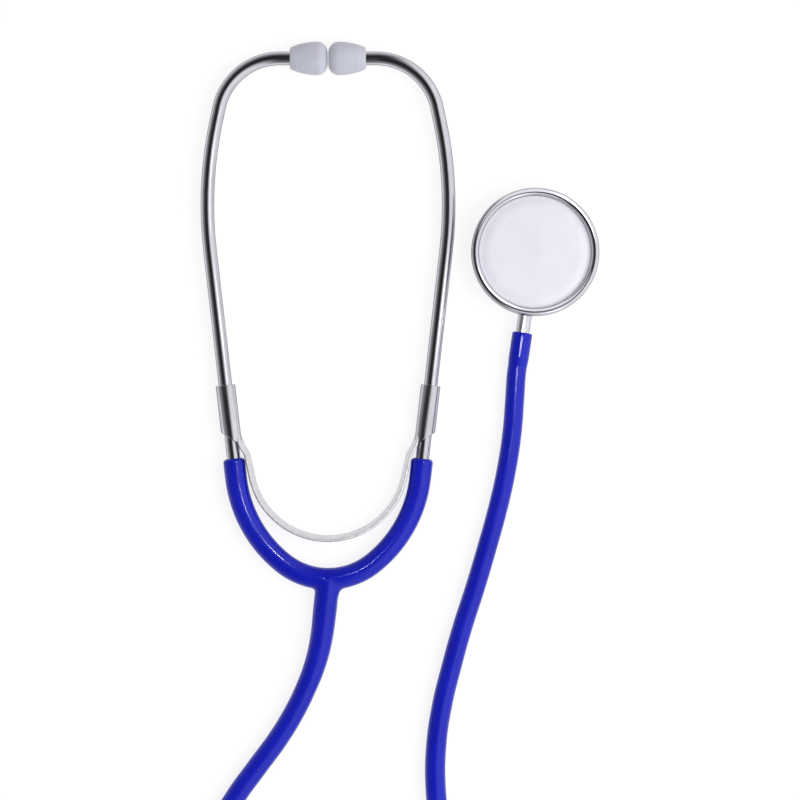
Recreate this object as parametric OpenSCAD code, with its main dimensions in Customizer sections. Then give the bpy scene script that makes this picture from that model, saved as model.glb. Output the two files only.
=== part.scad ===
// Toy stethoscope lying flat on a table, diaphragm up.
// Millimetres; +Z is up, +Y runs towards the ear tips, and the table is at z = 0.

/* [Ear tips] */
// Length of an ear tip from its base to its nose
tip_l = 13.2; // [11:0.2:15]
// Largest diameter of an ear tip
tip_d = 11.8; // [10.6:0.2:13]
// Diameter of an ear tip at its base
tip_base_d = 7.6; // [6.6:0.2:8.2]
// Radius of the round shoulder at the nose
tip_shoulder_r = 3.6; // [2.6:0.1:4.2]
// Depth of the socket that takes an ear tube
tip_socket_l = 8; // [6:0.5:9]
// Diameter of the sound hole through the nose
tip_hole_d = 2.4; // [1.6:0.2:3]
// Gap between the two noses when the headset is closed
tip_gap = 0.4; // [0.3:0.1:3]

/* [Ear tubes] */
// Outside diameter of an ear tube
tube_d = 4.8; // [4.4:0.1:5.2]
// Wall of an ear tube
tube_wall = 0.8; // [0.5:0.1:1.1]
// Lean of the ear tubes away from the middle, in degrees
tube_lean = 6.5; // [5:0.5:8]
// Straight length of an ear tube above its arm
tube_straight_l = 74; // [66:1:84]
// Radius of the long bow
tube_bow_r = 141; // [120:1:160]
// Turn of the long bow, in degrees
tube_bow_turn = 18.5; // [16:0.5:20]
// Straight length between the bow and the bend
tube_shoulder_l = 5; // [2:0.5:9]
// Radius of the bend below an ear tip
tube_bend_r = 22; // [18:0.5:24]

/* [Y tube] */
// Outside diameter of the two arms
arm_d = 7.9; // [7.4:0.1:8.3]
// Radius of the U where the arms meet
u_r = 25.4; // [23:0.2:28]
// Turn of that U on each side, in degrees
u_turn = 38.5; // [34:0.5:43]
// Radius of the arms above the U
arm_r = 45; // [40:1:52]
// Depth of the sockets that take the ear tubes
socket_l = 7; // [5:0.5:9]
// Length of the stem below the middle of the U
stem_l = 10; // [9:0.5:14]
// Lean of that stem to the left, in degrees
stem_lean = 6; // [0:1:8]
// Radius of the webs between the stem and the arms
web_r = 2.8; // [2:0.1:3.6]
// Diameter of the air bore in the arms
arm_bore_d = 2.6; // [2:0.1:2.8]

/* [Leaf spring] */
// Thickness of the spring sheet
sheet_t = 1; // [0.7:0.1:1.2]
// Width of the strip between the ear tubes
strip_w = 6; // [4.5:0.1:6.8]
// Length of the sleeves rolled round the ear tubes
sleeve_l = 16.5; // [12:0.5:20]
// Height of the sleeves above the mouths of the arms
sleeve_rise = 9.5; // [8:0.5:12]
// How much lower a sleeve reaches on its inner side
sleeve_point = 5; // [2:0.5:6]
// Slit where the rolled sheet ends meet
sleeve_slit = 0.6; // [0.3:0.1:1.2]
// Length of the straight legs of the strip
strip_leg_l = 8; // [5:0.5:12]
// Splay of those legs away from the arms, in degrees
strip_splay = 6; // [3:1:10]
// Radius of the two bends that step each leg in from its sleeve
strip_bend_r = 4; // [3:0.5:5.5]
// Turn of the upper one of those bends, in degrees
strip_turn = 25; // [20:1:32]
// Lean of the strip's upper edge towards the arms, in degrees
strip_tilt = 12; // [0:1:15]

/* [Hose] */
// Outside diameter where the hose leaves the Y tube
hose_top_d = 8.5; // [8.4:0.1:9]
// Outside diameter of the long middle run
hose_mid_d = 7.4; // [6.8:0.1:7.6]
// Outside diameter where the hose meets the chest piece
hose_low_d = 6.8; // [6.4:0.1:7.4]
// Length over which the hose thins below the Y tube
hose_top_taper_l = 30; // [20:5:90]
// Length over which the hose thins towards the chest piece
hose_low_taper_l = 190; // [100:5:250]
// Diameter of the air bore in the hose and the stem
bore_d = 3; // [2.9:0.1:3.4]
// Outside diameter of the hose end, stretched over the stem
cuff_d = 7.2; // [6.9:0.1:7.6]
// Length of the straight hose end
cuff_l = 12; // [11:0.5:15]
// Depth of the stem in the hose end
cuff_socket_l = 9; // [6:0.5:9.5]

/* [Chest piece] */
// Outside diameter of the retaining ring
ring_d = 45; // [42:0.5:50]
// Width of the ring's round rim
ring_rim_w = 2.8; // [2.4:0.1:3.6]
// Thickness of the ring's skirt
ring_skirt_t = 1.5; // [1.2:0.1:1.8]
// Rounding of the body's back edge
back_edge_r = 4.4; // [2:0.1:5]
// Length over which the ring is screwed on to the body
thread_l = 2.6; // [2:0.1:4]
// Width of the body's seat for the diaphragm
seat_w = 2; // [1.6:0.1:3]
// Depth of the air chamber at the middle
chamber_h = 1.4; // [0.8:0.1:2]
// Diameter of the sound port under the middle of the diaphragm
port_d = 4; // [3.6:0.1:6]
// Thickness of the diaphragm
diaphragm_t = 0.8; // [0.5:0.1:1]
// Width of the slope round the diaphragm's raised middle
slope_w = 2.8; // [1.5:0.1:4]
// Height of the diaphragm's raised middle
slope_h = 0.8; // [0.3:0.1:1.2]
// Outside diameter of the stem
stem_d = 4.8; // [4.4:0.1:5]
// Length of stem that shows between the ring and the hose
stem_show_l = 6; // [4:0.5:9]
// Distance from the chest piece's middle to the stem's inner end
stem_reach = 9; // [7:0.5:12]
// Height of the stem's axis above the table
stem_z = 4; // [3.8:0.1:4.2]
// Turn of the stem from straight down, in degrees
stem_turn = 8.5; // [5:0.5:12]

/* [Fits] */
// Radial clearance of a tube that turns or slides in its socket
turn_gap = 0.05; // [0.02:0.01:0.1]
// Radial clearance of pieces that are pressed or screwed together
seat_gap = 0.02; // [0.01:0.01:0.05]
// Clearance between pieces that pass side by side
side_gap = 0.4; // [0.3:0.1:0.8]
// Clearance at the end of a tube in its socket
end_gap = 0.2; // [0.1:0.1:0.5]

/* [Hidden] */
$fn = 72;
eps = 0.05;
// Every other stretch of a bent rod laps into its neighbours and is a hair thinner
lap = 0.3;
hair = 0.02;
hose_blue = [0.13, 0.13, 0.68];
tip_white = [0.87, 0.87, 0.91];
disc_white = [0.92, 0.92, 0.96];
chrome_grey = [0.76, 0.76, 0.79];

// A path starts at [x, y, heading]. Each stretch is [length, 0] or a bend to the left, [radius, turn];
// a bend to the right has both numbers below zero.
function ahead(p, s) = s[1] == 0
    ? [p.x + s[0] * cos(p.z), p.y + s[0] * sin(p.z), p.z]
    : [
        p.x + s[0] * (sin(p.z + s[1]) - sin(p.z)),
        p.y - s[0] * (cos(p.z + s[1]) - cos(p.z)),
        p.z + s[1]
    ];
function path_end(p, path, i = 0) = i == len(path) ? p : path_end(ahead(p, path[i]), path, i + 1);
function unit(v) = v / norm(v);

// The right arm of the Y tube, from the middle of the U to its mouth, and both arms from mouth to mouth
middle = [0, 0, 0];
arm_bends = [[u_r, u_turn], [arm_r, 90 - tube_lean - u_turn]];
socket_floor = path_end(middle, arm_bends);
mouth = ahead(socket_floor, [socket_l, 0]);
left_mouth = [-mouth.x, mouth.y, tube_lean - 90];
arm_to_arm = [arm_bends[1], [u_r, 2 * u_turn], arm_bends[1]];

// The right ear tube, from its socket to its tip
tube_start = ahead(socket_floor, [end_gap, 0]);
tube_bends = [
    [socket_l - end_gap + tube_straight_l, 0],
    [tube_bow_r, tube_bow_turn],
    [tube_shoulder_l, 0],
    [tube_bend_r, 90 + tube_lean - tube_bow_turn]
];
tube_bend_end = path_end(tube_start, tube_bends);
tip_base_x = tip_gap / 2 + tip_l;
tube_end_l = tube_bend_end.x - tip_base_x + tip_socket_l - end_gap;
tip_y = tube_bend_end.y;

// The strip steps in from each sleeve just above the mouth of the arm, and runs down beside the arm
sleeve_r = tube_d / 2 + turn_gap;
strip_in = sleeve_r + 0.65 * sheet_t;
strip_out = arm_d / 2 + side_gap + sheet_t / 2;
step_in = strip_out - strip_in;
bends_in = strip_bend_r * (1 + cos(strip_splay) - 2 * cos(strip_turn));
step_l = (step_in - bends_in) / sin(strip_turn);
step_h = strip_bend_r * (2 * sin(strip_turn) - sin(strip_splay)) + step_l * cos(strip_turn);
leave = ahead(mouth, [step_h + side_gap, 0]);
leave_edge = leave + strip_in * [cos(leave.z + 90), sin(leave.z + 90), 0];
leg_turn = leave.z - strip_splay;
step_path = [[-strip_bend_r, strip_splay - strip_turn], [step_l, 0], [strip_bend_r, strip_turn]];
step_end = path_end([0, 0, leg_turn], step_path);
leg_end = leave_edge - step_end - strip_leg_l * [cos(leg_turn), sin(leg_turn), 0];
bow_r = leg_end.x / sin(leg_turn);
bow_y = leg_end.y - bow_r * (1 - cos(leg_turn));
strip_top_l = sleeve_rise + sleeve_l / 2 - step_h - side_gap;
strip_path = concat([[bow_r, leg_turn], [strip_leg_l, 0]], step_path, [[strip_top_l, 0]]);

// The headset lies on its ear tips and on the end of the Y tube's stem
headset_at = [-25, -100, hose_top_d / 2];
headset_tilt = asin((tip_d - hose_top_d) / 2 / (tip_y + stem_l));

// The chest piece is laid out from the open end of the hose
hose_tip = [43.7, -3, stem_z];
chest_y = stem_show_l + ring_d / 2;
body_r = ring_d / 2 - ring_skirt_t;
shoulder_h = stem_z + stem_d / 2 + side_gap;
seat_h = shoulder_h + thread_l;
lip_z = seat_h + diaphragm_t + seat_gap;
rim_r = ring_rim_w / 2;
lip_r = ring_d / 2 - ring_rim_w;

// Route of the hose, from the Y tube's stem to the straight end on the chest piece
headset_up = [0, cos(headset_tilt), sin(headset_tilt)];
stem_down = [-sin(stem_lean), 0, 0] - cos(stem_lean) * headset_up;
hose_from = headset_at + stem_l * (headset_up + stem_down);
cuff_up = [sin(stem_turn), cos(stem_turn), 0];
cuff_end = hose_tip - cuff_l * cuff_up;
hose_points = [
    [-27.4, -111, 4.1],
    [-29.4, -119.5, 4],
    [-32.8, -128.5, 3.8],
    [-37.2, -137.5, 3.8],
    [-42.7, -146.5, 3.8],
    [-49.7, -156, 3.8],
    [-58, -167.5, 3.8],
    [-65, -180, 3.8],
    [-70, -194, 3.8],
    [-72, -209, 3.8],
    [-70.5, -224, 3.8],
    [-65.5, -238, 3.8],
    [-57, -250, 3.8],
    [-45.5, -259, 3.8],
    [-32, -264, 3.8],
    [-17.5, -264.5, 3.8],
    [-4, -260, 3.8],
    [7.5, -251, 3.8],
    [15.5, -238.5, 3.8],
    [19, -224, 3.8],
    [19, -209, 3.8],
    [17.2, -194, 3.8],
    [14.8, -179, 3.8],
    [13, -164, 3.8],
    [13.2, -149, 3.8],
    [15.2, -135, 3.8],
    [18.6, -121, 3.8],
    [22.5, -107, 3.8],
    [27, -93, 3.8],
    [31, -79.5, 3.8],
    [35, -65, 3.8],
    [38, -51.5, 3.9],
    [40.1, -37.5, 3.9],
    [40.9, -27, 4]
];
hose_lead = 2;
hose_route = concat(
    [hose_from, hose_from + hose_lead * stem_down],
    hose_points,
    [cuff_end - hose_lead * cuff_up, cuff_end]
);
hose_sides = 12;
last_ring = len(hose_route) - 1;
loop_from = 11;
loop_to = 21;
function run_to(i) = i == 0 ? 0 : run_to(i - 1) + norm(hose_route[i] - hose_route[i - 1]);
hose_l = run_to(last_ring);
hose_sizes = [
    [0, hose_top_d],
    [hose_top_taper_l, hose_mid_d],
    [hose_l - hose_low_taper_l, hose_mid_d],
    [hose_l, hose_low_d]
];

// One ring of points square to the route
function hose_ring(i, d) =
    let (along = unit(hose_route[min(i + 1, last_ring)] - hose_route[max(i - 1, 0)]))
    let (side = unit(cross(along, [0, 0, 1])), up = cross(side, along))
    [for (k = [0 : hose_sides - 1]) let (a = 360 * k / hose_sides)
        hose_route[i] + d / 2 * (cos(a) * side + sin(a) * up)];

// The two triangles of a patch between corners a, b and c, d
function patch(a, b, c, d) = [[a, b, d], [a, d, c]];

// A stretch of hose with its bore, between two rings of the route
module hose_run(from, to) {
    n = hose_sides;
    count = to - from;
    inner = (count + 1) * n;
    outer_points = [for (i = [from : to]) each hose_ring(i, lookup(run_to(i), hose_sizes))];
    bore_points = [for (i = [from : to]) each hose_ring(i, bore_d)];
    skin = [for (i = [0 : count - 1], k = [0 : n - 1]) let (a = i * n + k, b = i * n + (k + 1) % n)
        each patch(a, b, a + n, b + n)];
    bore = [for (i = [0 : count - 1], k = [0 : n - 1]) let (a = i * n + k, b = i * n + (k + 1) % n)
        each patch(inner + b, inner + a, inner + b + n, inner + a + n)];
    ends = [for (i = [0, count], k = [0 : n - 1]) let (a = i * n + k, b = i * n + (k + 1) % n)
        each i == 0 ? patch(b, a, inner + b, inner + a) : patch(a, b, inner + a, inner + b)];
    color(hose_blue) polyhedron(concat(outer_points, bore_points), concat(skin, bore, ends));
}

// A flat profile drawn along one stretch of a path, square to it, and past both its ends. Its +X lies to
// the right of the path.
module stretch(p, s, past = 0) {
    if (s[1] == 0)
        translate([p.x, p.y, 0]) rotate([90, 0, p.z + 90]) translate([0, 0, -past])
            linear_extrude(s[0] + 2 * past) mirror([1, 0]) children();
    else
        let (more = past / abs(s[0]) * 180 / PI, from = s[1] > 0 ? p.z - 90 : p.z + 90 + s[1])
        translate([p.x - s[0] * sin(p.z), p.y + s[0] * cos(p.z), 0]) rotate(from - more)
            rotate_extrude(angle = abs(s[1]) + 2 * more) translate([abs(s[0]), 0])
                mirror([s[1] > 0 ? 0 : 1, 0]) children();
}

// A whole path: the first child is the profile, and the second is the same a hair thinner
module sweep(p, path, i = 0) {
    if (i < len(path)) {
        stretch(p, path[i], i % 2 * lap) children(i % 2);
        sweep(ahead(p, path[i]), path, i + 1) {
            children(0);
            children(1);
        }
    }
}

module round_bar(p, path, d) {
    sweep(p, path) {
        circle(d / 2);
        circle(d / 2 - hair);
    }
}

module flat_bar(p, path, t, w, lean) {
    sweep(p, path) {
        rotate(-lean) square([t, w], center = true);
        rotate(-lean) square([t - 2 * hair, w - 2 * hair], center = true);
    }
}

// The headset's own frame starts at the middle of the U
module headset() {
    translate(headset_at) rotate([headset_tilt, 0, 0]) translate([0, stem_l, 0]) children();
}

// The chest piece's own frame starts at the open end of the hose, with +Y towards its middle
module chest() {
    translate([hose_tip.x, hose_tip.y, 0]) rotate(-stem_turn) children();
}

// Half a headset piece on each side of the middle
module both_sides() {
    children();
    mirror([1, 0, 0]) children();
}

// Turned shape of an ear tip, with its base at z = 0: a bulging flank that runs into the round shoulder
module tip_shape() {
    round_c = [tip_d / 2 - tip_shoulder_r, tip_l - tip_shoulder_r];
    bulge = (tip_d - tip_base_d) / 2;
    flank_r = (round_c.y ^ 2 + bulge ^ 2) / (2 * bulge);
    difference() {
        rotate_extrude() {
            intersection() {
                translate([tip_d / 2 - flank_r, round_c.y]) circle(flank_r, $fn = 4 * $fn);
                square([tip_d, round_c.y]);
            }
            intersection() {
                translate(round_c) circle(tip_shoulder_r);
                translate([0, round_c.y]) square([tip_d, tip_shoulder_r]);
            }
            square([round_c.x, tip_l]);
        }
        translate([0, 0, -eps]) cylinder(h = tip_socket_l + eps, r = tube_d / 2 + turn_gap);
        translate([0, 0, tip_socket_l - eps]) cylinder(h = tip_l, d = tip_hole_d);
    }
}

module tip_right_half() {
    translate([tip_base_x, tip_y, 0]) rotate([0, -90, 0]) tip_shape();
}

module ear_tip_right() {
    color(tip_white) headset() tip_right_half();
}

module ear_tip_left() {
    color(tip_white) headset() mirror([1, 0, 0]) tip_right_half();
}

module tube_right_half() {
    path = concat(tube_bends, [[tube_end_l, 0]]);
    difference() {
        round_bar(tube_start, path, tube_d);
        round_bar(tube_start, path, tube_d - 2 * tube_wall);
    }
}

module ear_tube_right() {
    color(chrome_grey) headset() tube_right_half();
}

module ear_tube_left() {
    color(chrome_grey) headset() mirror([1, 0, 0]) tube_right_half();
}

// A sleeve rolled round the right ear tube, longer on its inner side and slit underneath
module sleeve_right_half() {
    low = sleeve_rise - sleeve_point;
    long = sleeve_l + sleeve_point;
    outer_r = sleeve_r + sheet_t;
    cut_angle = atan(sleeve_point / (2 * outer_r));
    translate([mouth.x, mouth.y, 0]) rotate(mouth.z - 90) difference() {
        translate([0, low, 0]) rotate([-90, 0, 0]) cylinder(h = long, r = outer_r);
        translate([0, low - eps, 0]) rotate([-90, 0, 0]) cylinder(h = long + 2 * eps, r = sleeve_r);
        translate([-outer_r, low, -long / 2]) rotate(cut_angle) translate([-long / 2, -long, 0])
            cube([2 * long, long, long]);
        translate([-sleeve_slit / 2, low - eps, -outer_r - eps])
            cube([sleeve_slit, long + 2 * eps, outer_r + eps]);
    }
}

module leaf_spring() {
    color(chrome_grey) headset() both_sides() {
        flat_bar([0, bow_y, 0], strip_path, sheet_t, strip_w, strip_tilt);
        sleeve_right_half();
    }
}

// Round webs that fill the corners between the stem and the arms
module webs() {
    web_tube_r = arm_d / 2 - 0.1;
    turn_r = web_r + web_tube_r;
    turn_y = u_r - sqrt(u_r ^ 2 + 2 * u_r * turn_r);
    turn = 90 - asin(turn_r / (u_r + turn_r));
    both_sides() translate([turn_r, turn_y, 0]) rotate(180 - turn) rotate_extrude(angle = turn)
        translate([turn_r, 0]) circle(web_tube_r);
}

module y_tube() {
    to_floor = [[socket_l, 0]];
    color(hose_blue) headset() difference() {
        union() {
            round_bar(left_mouth, concat(to_floor, arm_to_arm, to_floor), arm_d);
            webs();
            rotate([90, 0, -stem_lean]) cylinder(h = stem_l, d = hose_top_d);
        }
        round_bar(left_mouth, concat(to_floor, arm_to_arm, to_floor), arm_bore_d);
        both_sides() stretch(socket_floor, [socket_l + eps, 0]) circle(tube_d / 2 + turn_gap);
        rotate([90, 0, -stem_lean]) cylinder(h = stem_l + eps, d = bore_d);
    }
}

module hose_drop() {
    hose_run(0, loop_from);
}

module hose_loop() {
    hose_run(loop_from, loop_to);
}

module hose_rise() {
    hose_run(loop_to, last_ring);
}

// Straight end of the hose, stretched over the stem
module hose_end() {
    color(hose_blue) chest() translate([0, 0, stem_z]) rotate([90, 0, 0]) difference() {
        rotate_extrude() polygon([
            [0, 0], [cuff_d / 2, 0], [cuff_d / 2, cuff_socket_l], [hose_low_d / 2, cuff_l], [0, cuff_l]
        ]);
        translate([0, 0, -eps]) cylinder(h = cuff_socket_l + end_gap + eps, r = stem_d / 2 + turn_gap);
        cylinder(h = cuff_l + eps, d = bore_d);
    }
}

module chest_stem() {
    color(chrome_grey) chest() translate([0, chest_y - stem_reach, stem_z]) rotate([90, 0, 0]) difference() {
        cylinder(h = chest_y - stem_reach + cuff_socket_l, d = stem_d);
        translate([0, 0, -eps]) cylinder(h = chest_y - stem_reach + cuff_socket_l + 2 * eps, d = bore_d);
    }
}

// Turned body with a round back edge, an air chamber and the passage to the stem
module chest_body() {
    back_r = ring_d / 2 - ring_skirt_t / 2;
    chamber_r = body_r - seat_w;
    color(chrome_grey) chest() translate([0, chest_y, 0]) difference() {
        rotate_extrude() difference() {
            union() {
                square([back_r - back_edge_r, shoulder_h]);
                translate([0, back_edge_r]) square([back_r, shoulder_h - back_edge_r]);
                intersection() {
                    translate([back_r - back_edge_r, back_edge_r]) circle(back_edge_r);
                    square([back_r, shoulder_h]);
                }
                square([body_r - seat_gap, seat_h]);
            }
            polygon([[0, seat_h - chamber_h], [chamber_r, seat_h], [chamber_r, seat_h + 1], [0, seat_h + 1]]);
        }
        translate([0, 0, stem_z - port_d / 2]) cylinder(h = seat_h, d = port_d);
        translate([0, 0, stem_z]) rotate([90, 0, 0]) cylinder(h = stem_reach + eps, d = bore_d);
        translate([0, -stem_reach, stem_z]) rotate([90, 0, 0])
            cylinder(h = ring_d, r = stem_d / 2 + seat_gap);
    }
}

// Formed disc with a raised middle
module diaphragm() {
    foot_r = lip_r - side_gap;
    top_r = foot_r - slope_w;
    edge_r = body_r - seat_gap;
    shift = diaphragm_t / 2;
    color(disc_white) chest() translate([0, chest_y, seat_h]) rotate_extrude() polygon([
        [0, slope_h], [top_r - shift, slope_h], [foot_r - shift, 0], [edge_r, 0], [edge_r, diaphragm_t],
        [foot_r, diaphragm_t], [top_r, slope_h + diaphragm_t], [0, slope_h + diaphragm_t]
    ]);
}

// Screwed ring with a round rim that holds the diaphragm down
module retaining_ring() {
    rim_z = lip_z + rim_r / 2;
    color(chrome_grey) chest() translate([0, chest_y, 0]) rotate_extrude() difference() {
        union() {
            translate([ring_d / 2 - rim_r, rim_z]) circle(rim_r);
            translate([body_r, shoulder_h]) square([ring_skirt_t, rim_z - shoulder_h]);
        }
        square([body_r, lip_z]);
    }
}

ear_tip_left();
ear_tip_right();
ear_tube_left();
ear_tube_right();
leaf_spring();
y_tube();
hose_drop();
hose_loop();
hose_rise();
hose_end();
chest_stem();
chest_body();
diaphragm();
retaining_ring();
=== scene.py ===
# %% [markdown]
# # A toy stethoscope
# A child's stethoscope lies flat on a white table, seen from straight above. It has two chrome ear tubes
# with milky tips, a leaf spring that pulls them together, a blue hose that starts as a Y, and a round
# chest piece with a white diaphragm. The solids are loaded first and never moved: every piece made below
# is fitted to them, and the ear tubes, the tips and the chest piece's parts each ride on one of their bodies.

# %% Load the solids
import bmesh
import bpy
from math import cos, pi, radians, sin, sqrt
from mathutils import Matrix, Vector


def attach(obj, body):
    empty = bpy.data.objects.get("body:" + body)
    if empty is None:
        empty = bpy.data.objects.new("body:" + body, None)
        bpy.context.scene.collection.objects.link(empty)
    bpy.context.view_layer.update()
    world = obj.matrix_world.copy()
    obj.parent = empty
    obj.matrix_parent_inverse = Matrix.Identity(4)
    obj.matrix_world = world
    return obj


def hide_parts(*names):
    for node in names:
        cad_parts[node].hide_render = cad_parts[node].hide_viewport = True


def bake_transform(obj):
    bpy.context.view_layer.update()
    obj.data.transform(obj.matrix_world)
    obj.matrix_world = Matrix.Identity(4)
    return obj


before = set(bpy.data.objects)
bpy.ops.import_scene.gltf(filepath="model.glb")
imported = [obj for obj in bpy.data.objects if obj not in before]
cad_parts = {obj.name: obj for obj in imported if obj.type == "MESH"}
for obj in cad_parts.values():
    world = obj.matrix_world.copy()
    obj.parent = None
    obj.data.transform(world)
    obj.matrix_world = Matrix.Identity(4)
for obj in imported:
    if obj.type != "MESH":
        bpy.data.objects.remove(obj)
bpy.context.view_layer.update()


def add_object(name, data):
    """A new object in the scene that shows a mesh, curve, lamp or camera."""
    made = bpy.data.objects.new(name, data)
    bpy.context.scene.collection.objects.link(made)
    return made


# %% [markdown]
# ## Two small frames to work in
# The headset and the chest piece are easier to draw flat, each in millimetres about its own middle. A
# matrix then lays the drawing where the solid lies: the headset leans by half a degree, because it rests
# on its thick ear tips and on the thinner stem of the Y. Building at the origin and moving vertices
# afterwards keeps every object unturned and unscaled, which materials and exports like.

# %% Sizes and places, in millimetres
MM = 0.001
HOSE_TOP_R = 4.25
STEM_Z = 4.0
TILT = radians(0.488024)
Y_STEM_L = 10.0
HEADSET_AT = Vector((-25.0, -100.0, HOSE_TOP_R))
HOSE_TIP = Vector((43.7, -3.0, STEM_Z))
STEM_TURN = radians(8.5)
CHEST_Y = 28.5

headset = (
    Matrix.Translation(HEADSET_AT)
    @ Matrix.Rotation(TILT, 4, "X")
    @ Matrix.Translation((0, Y_STEM_L, 0))
)
chest = (
    Matrix.Translation((HOSE_TIP.x, HOSE_TIP.y, 0))
    @ Matrix.Rotation(-STEM_TURN, 4, "Z")
    @ Matrix.Translation((0, CHEST_Y, 0))
)


def in_headset(x, y):
    """A point of the flat headset drawing, in metres where it lies on the table."""
    return tuple(headset @ Vector((x, y, 0)) * MM)


print("headset middle:", in_headset(0, 0), "chest middle:", tuple(chest.translation))

# %% [markdown]
# ## The camera
# The picture was taken from straight above. A camera with no rotation already looks down with +Y up, so
# only its place and its lens are set. From one metre a lens of 127.5 mm takes in a square of 282 mm at
# the height of the tubes, and the high rim of the chest piece leans outwards by the right pixel or two.

# %% Camera
VIEW_CENTRE = (0.0004, -0.0268)
VIEW_HEIGHT = 1.0055
VIEW_LENS = 127.5
SENSOR_W = 36.0

camera_data = bpy.data.cameras.new("camera")
camera_data.lens = VIEW_LENS
camera_data.sensor_width = SENSOR_W
camera = add_object("camera", camera_data)
camera.location = (*VIEW_CENTRE, VIEW_HEIGHT)
bpy.context.scene.camera = camera
print("camera height:", VIEW_HEIGHT)

# %% [markdown]
# ## The hose
# The soft hose leaves the stem of the Y, swings to the left, turns in one wide loop below the picture's
# edge, and comes back up to the chest piece. A Bezier curve with automatic handles through a few dozen
# points gives the smooth line that such a hose takes on a table. Each point's own radius thins the hose
# from the Y to the chest piece. The curve is then made a mesh, because only a mesh can bend between two
# bodies when the chest piece swings aside.

# %% Route of the hose
HOSE_POINTS = [
    (-27.4, -111, 4.1), (-29.4, -119.5, 4), (-32.8, -128.5, 3.8), (-37.2, -137.5, 3.8), (-42.7, -146.5, 3.8),
    (-49.7, -156, 3.8), (-58, -167.5, 3.8), (-65, -180, 3.8), (-70, -194, 3.8), (-72, -209, 3.8),
    (-70.5, -224, 3.8), (-65.5, -238, 3.8), (-57, -250, 3.8), (-45.5, -259, 3.8), (-32, -264, 3.8),
    (-17.5, -264.5, 3.8), (-4, -260, 3.8), (7.5, -251, 3.8), (15.5, -238.5, 3.8), (19, -224, 3.8),
    (19, -209, 3.8), (17.2, -194, 3.8), (14.8, -179, 3.8), (13, -164, 3.8), (13.2, -149, 3.8),
    (15.2, -135, 3.8), (18.6, -121, 3.8), (22.5, -107, 3.8), (27, -93, 3.8), (31, -79.5, 3.8),
    (35, -65, 3.8), (38, -51.5, 3.9), (40.1, -37.5, 3.9), (40.9, -27, 4),
]
HOSE_MID_R = 3.7
HOSE_LOW_R = 3.4
HOSE_LEAD = 2.0
TOP_TAPER_L = 30.0
LOW_TAPER_L = 190.0
Y_STEM_LEAN = radians(6)
CUFF_L = 12.0

headset_up = Vector((0, cos(TILT), sin(TILT)))
stem_down = Vector((-sin(Y_STEM_LEAN), 0, 0)) - cos(Y_STEM_LEAN) * headset_up
hose_from = HEADSET_AT + Y_STEM_L * (headset_up + stem_down)
cuff_up = Vector((sin(STEM_TURN), cos(STEM_TURN), 0))
cuff_end = HOSE_TIP - CUFF_L * cuff_up
hose_route = [hose_from, hose_from + HOSE_LEAD * stem_down]
hose_route += [Vector(p) for p in HOSE_POINTS]
hose_route += [cuff_end - HOSE_LEAD * cuff_up, cuff_end]
runs = [0.0]
for before, after in zip(hose_route, hose_route[1:]):
    runs.append(runs[-1] + (after - before).length)


def hose_radius(run):
    """Radius of the hose at a distance from the Y tube."""
    top = min(run / TOP_TAPER_L, 1)
    low = max(1 - (runs[-1] - run) / LOW_TAPER_L, 0)
    return HOSE_TOP_R + (HOSE_MID_R - HOSE_TOP_R) * top + (HOSE_LOW_R - HOSE_MID_R) * low


print("hose points:", len(hose_route), "length:", round(runs[-1] + CUFF_L, 1), "mm")

# %% Hose curve
STEPS_ALONG = 8
STEPS_ROUND = 10


def hose_curve(name, thickness):
    """The hose's line as a curve object, solid where thickness is over 0."""
    data = bpy.data.curves.new(name, "CURVE")
    data.dimensions = "3D"
    data.resolution_u = STEPS_ALONG
    data.bevel_depth = thickness
    data.bevel_resolution = STEPS_ROUND
    line = data.splines.new("BEZIER")
    line.bezier_points.add(len(hose_route) - 1)
    for point, place, run in zip(line.bezier_points, hose_route, runs):
        point.co = place * MM
        point.radius = hose_radius(run)
        point.handle_left_type = point.handle_right_type = "AUTO"
    for point, along in ((line.bezier_points[0], stem_down), (line.bezier_points[-1], cuff_up)):
        point.handle_left_type = point.handle_right_type = "FREE"
        point.handle_left = point.co - along * MM
        point.handle_right = point.co + along * MM
    return add_object(name, data)


def as_mesh(made):
    """The mesh that a curve or a modifier comes to, with the object itself removed."""
    bpy.context.view_layer.update()
    mesh = bpy.data.meshes.new_from_object(made.evaluated_get(bpy.context.evaluated_depsgraph_get()))
    bpy.data.objects.remove(made)
    return mesh


line_mesh = as_mesh(hose_curve("hose_line", 0.0))
hose_path = [v.co.copy() for v in line_mesh.vertices]
bpy.data.meshes.remove(line_mesh)
hose_mesh = as_mesh(hose_curve("hose_tube", MM))
print("centre line:", len(hose_path), "points; tube:", len(hose_mesh.polygons), "faces")

# %% [markdown]
# ## The ends of the hose
# At the chest piece the hose is stretched over a metal stem, so its last 12 mm swell a little and end in
# a soft rounded rim round the stem. The open ring of edges at the tube's end is extruded up the stem,
# then folded inwards and back down the bore. At the other end the hose and the Y are one moulding, so
# the hose runs on a little way inside the stem of the Y and no joint shows.

# %% Helpers for bmesh work
MERGE_MM = 0.002


def new_verts(made):
    """Vertices among what an operator has made."""
    return [g for g in made if isinstance(g, bmesh.types.BMVert)]


def ring_edges(made):
    """Edges of an extrusion that join only its new vertices."""
    fresh = set(new_verts(made))
    return [g for g in made if isinstance(g, bmesh.types.BMEdge) and set(g.verts) <= fresh]


def grow_ring(bm, edges, step, scale=1.0):
    """Extrudes a ring of edges by a step, and scales the new ring about its middle."""
    made = bmesh.ops.extrude_edge_only(bm, edges=edges)["geom"]
    verts = new_verts(made)
    bmesh.ops.translate(bm, verts=verts, vec=step)
    middle = sum((v.co for v in verts), Vector()) / len(verts)
    bmesh.ops.scale(bm, verts=verts, vec=(scale,) * 3, space=Matrix.Translation(-middle))
    return ring_edges(made)


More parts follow.
